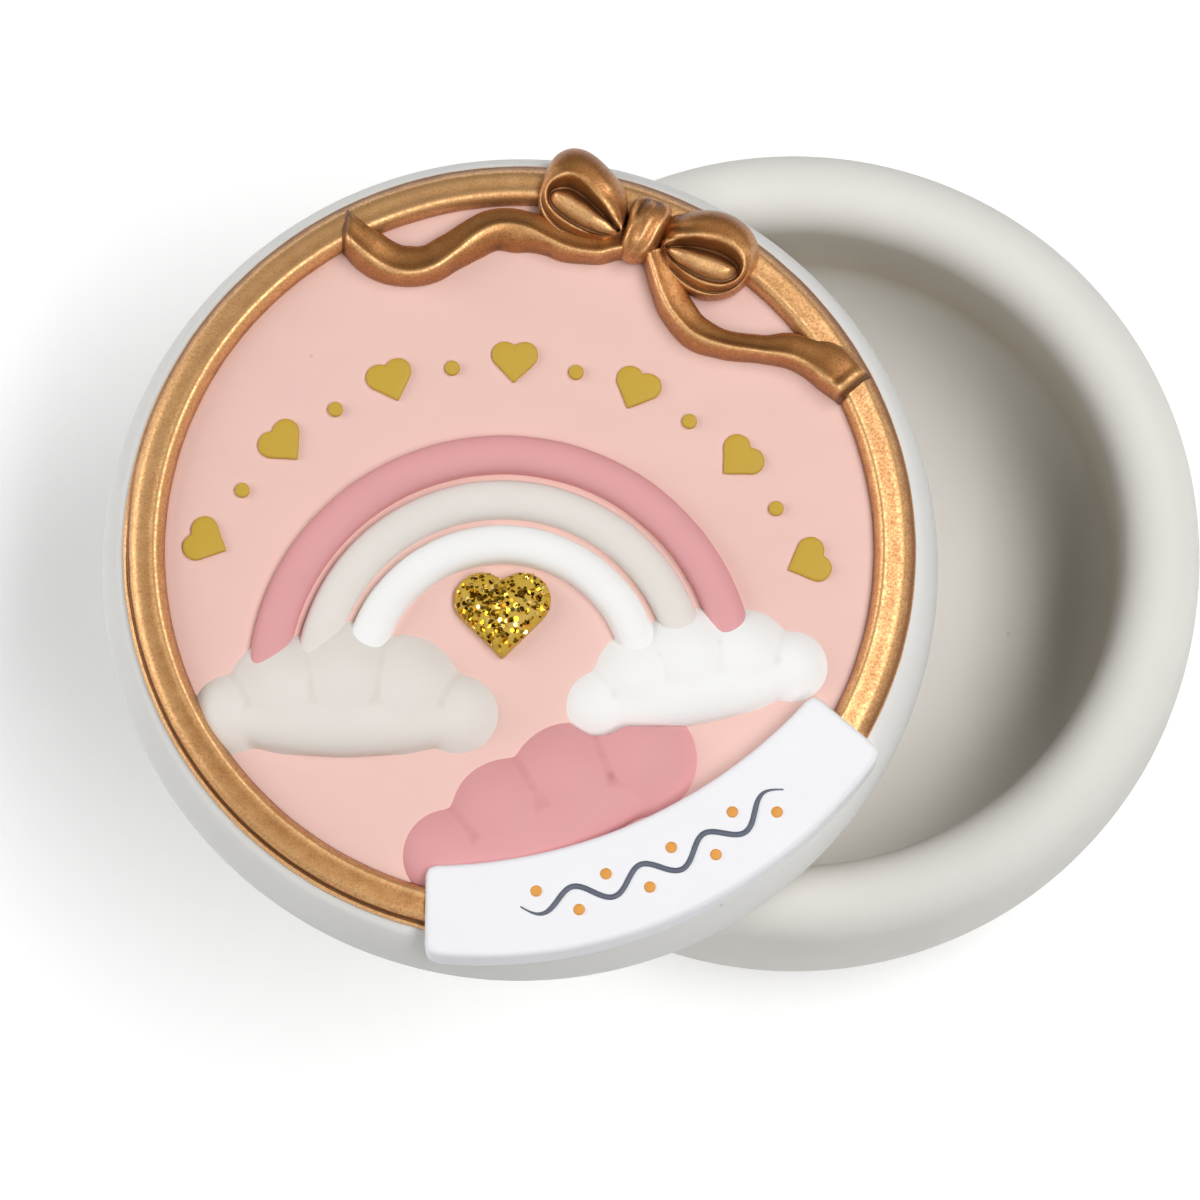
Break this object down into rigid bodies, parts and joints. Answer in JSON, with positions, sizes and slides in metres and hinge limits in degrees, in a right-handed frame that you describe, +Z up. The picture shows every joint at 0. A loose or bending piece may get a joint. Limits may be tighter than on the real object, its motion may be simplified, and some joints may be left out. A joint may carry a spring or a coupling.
{
  "type": "baby tooth box",
  "caption": "Round cast resin keepsake box for milk teeth: a thick-walled bowl and a loose lid with a gilt ribbon frame, a relief rainbow medallion and a white banner.",
  "frame": {"origin": "centre of the flat foot that the bowl stands on", "axes": "+Z up, +X to the right as pictured, so the lid lies slid towards -X; +Y to the back"},
  "size_m": [0.1, 0.079, 0.0436],
  "materials": {
    "bowl_paint": "matte",
    "lid_paint": "matte",
    "field_pink": "matte",
    "antique_gold": "satin",
    "banner_white": "satin",
    "relief_rose": "matte",
    "relief_cream": "matte",
    "relief_white": "satin",
    "glitter_gold": "gloss",
    "mustard_gold": "satin"
  },
  "bodies": {
    "bowl": {"base_bowl": "bowl_paint"},
    "lid": {"lid_shell": "lid_paint", "medallion_panel": "field_pink", "frame_ring": "antique_gold", "bow_knot": "antique_gold", "bow_loop_left": "antique_gold", "bow_loop_right": "antique_gold", "ribbon_tail_left": "antique_gold", "ribbon_tail_right": "antique_gold", "banner": "banner_white", "rainbow_outer": "relief_rose", "cloud_front": "relief_rose", "rainbow_middle": "relief_cream", "cloud_left": "relief_cream", "rainbow_inner": "relief_white", "cloud_right": "relief_white", "glitter_heart": "glitter_gold", "gold_hearts": "mustard_gold", "gold_dots": "mustard_gold"}
  },
  "joints": [
    {"name": "lid_lift", "type": "slide", "parent": "bowl", "child": "lid", "axis": [0, 0, 1], "range_m": [0, 0.045]}
  ]
}
